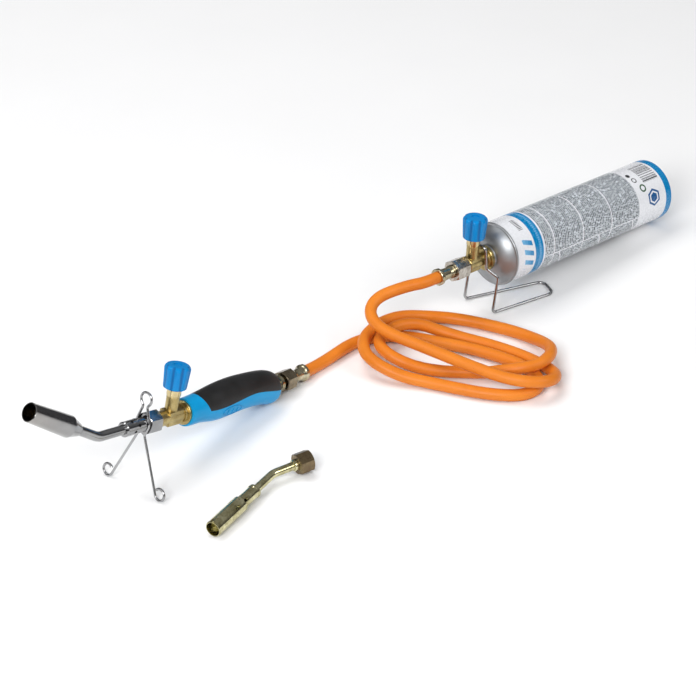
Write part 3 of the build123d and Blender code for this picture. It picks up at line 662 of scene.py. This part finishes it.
def print_front(made, can, colour):
    """The dashed blue stripe, the slanted bars and the small marks near the dome."""
    colour = made.mix(made.within(can.along, *STRIPE), colour, PRINT_BLUE)
    middle = (STRIPE[0] + STRIPE[1]) / 2 - DASH_ROW_SHIFT
    row = made.within(can.along, middle - STRIPE_DASHES, middle + STRIPE_DASHES)
    dash = can.stripes(made.times(can.round, DASH_RATE), 0.0)
    colour = made.mix(made.times(row, dash), colour, PRINT_PALE_BLUE)
    phase = made.math(
        "ADD", made.times(can.round, BAR_RATES[1]), made.times(can.along, BAR_RATES[0])
    )
    bars = made.times(can.stripes(phase, BAR_EDGE), can.area(FRONT_BARS, FRONT_BARS_ROUND))
    tone = made.mix(made.ramp(can.along, *FRONT_BARS), PRINT_BLUE, PRINT_PALE_BLUE)
    colour = made.mix(bars, colour, tone)
    small = can.stripes(made.times(can.round, MARK_RATE), MARK_EDGE)
    marks = made.times(small, can.area(SMALL_MARKS, SMALL_MARKS_ROUND))
    return made.mix(marks, colour, PRINT_DARK)


def print_rear(made, can, colour, white):
    """The bar block, the ring marks, the badge and the blue band near the base."""
    spread = made.join(made.times(can.round, CODE_RATE), 0.0, 0.0)
    code = made.math("GREATER_THAN", made.noise(1.0, detail=0.0, vector=spread), CODE_EDGE)
    block = made.times(code, can.area(BAR_BLOCK, BAR_BLOCK_ROUND))
    colour = made.mix(block, colour, PRINT_DARK)
    for along, around, radius, line, tint in RING_MARKS:
        away = made.length(*can.distances(along, around))
        colour = made.mix(made.within(away, radius - line, radius), colour, tint)
    along, around, radius = BADGE
    badge = can.hexagon(along, around)
    colour = made.mix(made.math("LESS_THAN", badge, radius), colour, BADGE_BLUE)
    line = made.within(badge, radius * BADGE_LINE[0], radius * BADGE_LINE[1])
    colour = made.mix(line, colour, white)
    return made.mix(made.math("LESS_THAN", can.along, RIM_BAND), colour, PRINT_BLUE)


def printed_can():
    """White lacquer: a blue stripe, a grey field of fine print and a plain rear band."""
    made = Shader("can_print", Specular_IOR_Level=0.35, Coat_Weight=0.15, Coat_Roughness=0.12)
    can = CanPrint(made)
    white = made.mix(made.noise(30.0), PRINT_WHITE, scaled(PRINT_WHITE, 1.04))
    colour = print_field(made, can, white)
    colour = print_front(made, can, colour)
    made.colour(print_rear(made, can, colour, white))
    made.roughness(made.ramp(made.noise(500.0), *NOISE_SPAN, low_to=0.22, high_to=0.32))
    made.bump(made.noise(60.0, detail=2.0), strength=0.03, distance=0.001)
    return made.material


def blue_lacquer():
    made = Shader("can_blue", Specular_IOR_Level=0.35, Coat_Weight=0.1, Coat_Roughness=0.15)
    drift = made.noise(50.0, detail=3.0)
    made.colour(made.mix(drift, scaled(PRINT_BLUE, 0.9), PRINT_BLUE))
    made.roughness(made.ramp(drift, *NOISE_SPAN, low_to=0.22, high_to=0.32))
    return made.material


def dress(material, *names):
    """Gives CAD nodes or pieces a material."""
    for name in names:
        piece = nodes.get(name) or bpy.data.objects[name]
        piece.data.materials.clear()
        piece.data.materials.append(material)


WIRE_STEEL = (0.44, 0.44, 0.445, 1)
NUT_STEEL = (0.36, 0.36, 0.365, 1)
# The second blue is the painted shade in the knob's flutes.
KNOB_BLUE_AND_SHADE = ((0.000, 0.225, 0.58, 1), (0.000, 0.085, 0.27, 1))
dress(hose_rubber(), "gas_hose")
dress(burner_steel(), "burner_bell", "burner_neck", "burner_socket")
dress(bare_steel("nut_chrome", NUT_STEEL, 0.20), "burner_nut")
dress(bare_steel("drawn_wire", WIRE_STEEL, 0.20), "torch_rest", "cartridge_stand")
dress(tinplate(), "can_dome", "can_valve")
dress(
    brass("cast_brass", (0.55, 0.44, 0.20, 1), (0.36, 0.27, 0.11, 1), 0.28, 0.16),
    "torch_valve_body",
    "cartridge_valve_body",
)
dress(
    brass("turned_brass", (0.68, 0.57, 0.32, 1), (0.48, 0.38, 0.19, 1), 0.14),
    "torch_gland",
    "cartridge_gland",
    "torch_spindle",
    "cartridge_spindle",
)
dress(
    brass("jet_brass", (0.50, 0.36, 0.17, 1), (0.34, 0.23, 0.10, 1), 0.3),
    "gas_jet",
    "flame_holder",
    "gas_tube",
)
dress(knob_plastic("torch_knob_blue", "torch_knob_turn", *KNOB_BLUE_AND_SHADE), "torch_knob")
dress(knob_plastic("cartridge_knob_blue", "cartridge_knob_turn", *KNOB_BLUE_AND_SHADE), "cartridge_knob")
dress(
    moulded_plastic("handle_blue", (0.000, 0.320, 0.66, 1), (0.000, 0.285, 0.60, 1), 0.34),
    "handle_shell",
)
# The relief is the handle's own plastic; its darker blue is painted shade along the raised lines.
dress(
    moulded_plastic("relief_blue_painted_shade", (0.000, 0.250, 0.56, 1), (0.000, 0.220, 0.50, 1), 0.34),
    *relief_names,
)
dress(soft_grip(), "handle_grip")
dress(
    yellow_plate("plated_fitting", (0.62, 0.57, 0.40, 1), (0.26, 0.21, 0.12, 1), 0.20),
    "tail_nipple",
    "tail_ferrule",
    "tap_nipple",
    "tap_ferrule",
)
dress(yellow_plate("plated_hex", (0.30, 0.25, 0.17, 1), (0.13, 0.10, 0.065, 1), 0.24), "tail_hose_nut")
dress(yellow_plate("grey_hex", (0.66, 0.62, 0.56, 1), (0.34, 0.30, 0.25, 1), 0.22), "tap_hose_nut")
dress(
    yellow_plate("plated_burner", (0.78, 0.74, 0.47, 1), (0.36, 0.32, 0.15, 1), 0.16),
    "spare_tip",
    "spare_neck",
    "spare_cone",
)
dress(
    yellow_plate("plated_nut", (0.23, 0.175, 0.095, 1), (0.15, 0.105, 0.065, 1), 0.34),
    "spare_nut",
)
dress(black_rubber(), "torch_spindle_seal", "cartridge_spindle_seal", "tap_gasket")
dress(printed_can(), "can_body")
dress(blue_lacquer(), "can_base")

# ---- floor, light and backdrop --------------------------------------------------
FLOOR_HALF = 6.0
FLOOR_DROP = 0.0002
SKY_STOPS = ((0.10, (0.10, 0.10, 0.11, 1)), (0.55, (0.50, 0.50, 0.51, 1)))
SKY_STRENGTH = 0.58
# Name, azimuth, elevation, distance, size, power, and whether metal reflects it.
LAMPS = (
    ("key", -66.0, 34.0, 2.8, (1.2, 0.95), 48.0, True),
    ("fill", 18.0, 38.0, 3.0, (1.6, 1.2), 26.0, True),
    ("strip", -125.0, 56.0, 2.2, (2.0, 0.16), 7.0, True),
    ("rim", 180.0, 66.0, 2.8, (1.8, 1.4), 30.0, False),
)


def floor():
    mesh = bpy.data.meshes.new("floor")
    corners = []
    for x, y in ((-1, -1), (1, -1), (1, 1), (-1, 1)):
        corners.append((x * FLOOR_HALF, y * FLOOR_HALF, -FLOOR_DROP))
    mesh.from_pydata(corners, [], [(0, 1, 2, 3)])
    piece = bpy.data.objects.new("floor", mesh)
    scene.collection.objects.link(piece)
    made = Shader("floor_paper", Roughness=0.9, Specular_IOR_Level=0.2)
    made.colour(made.mix(made.noise(8.0), (0.90, 0.90, 0.90, 1), (0.93, 0.93, 0.93, 1)))
    mesh.materials.append(made.material)


def lamp(name, azimuth, elevation, distance, size, power, glossy):
    data = bpy.data.lights.new(name, "AREA")
    data.shape = "RECTANGLE"
    data.size = size[0]
    data.size_y = size[1]
    data.energy = power
    piece = bpy.data.objects.new(name, data)
    piece.visible_glossy = glossy
    scene.collection.objects.link(piece)
    away = view_back(azimuth, elevation)
    piece.location = away * distance
    piece.rotation_euler = away.to_track_quat("Z", "Y").to_euler()


def sky():
    """A pale studio: white overhead, grey near the horizon for the metal to reflect."""
    world = bpy.data.worlds.new("studio")
    scene.world = world
    world.use_nodes = True
    tree = world.node_tree
    shade = tree.nodes["Background"]
    where = tree.nodes.new("ShaderNodeTexCoord")
    parts = tree.nodes.new("ShaderNodeSeparateXYZ")
    tree.links.new(where.outputs["Generated"], parts.inputs[0])
    ramp = tree.nodes.new("ShaderNodeValToRGB")
    for stop, (height, colour) in zip(ramp.color_ramp.elements, SKY_STOPS):
        stop.position = height
        stop.color = colour
    tree.links.new(parts.outputs[2], ramp.inputs[0])
    tree.links.new(ramp.outputs[0], shade.inputs["Color"])
    shade.inputs["Strength"].default_value = SKY_STRENGTH


floor()
sky()
for settings in LAMPS:
    lamp(*settings)
scene.view_settings.view_transform = "Standard"

bpy.context.view_layer.update()
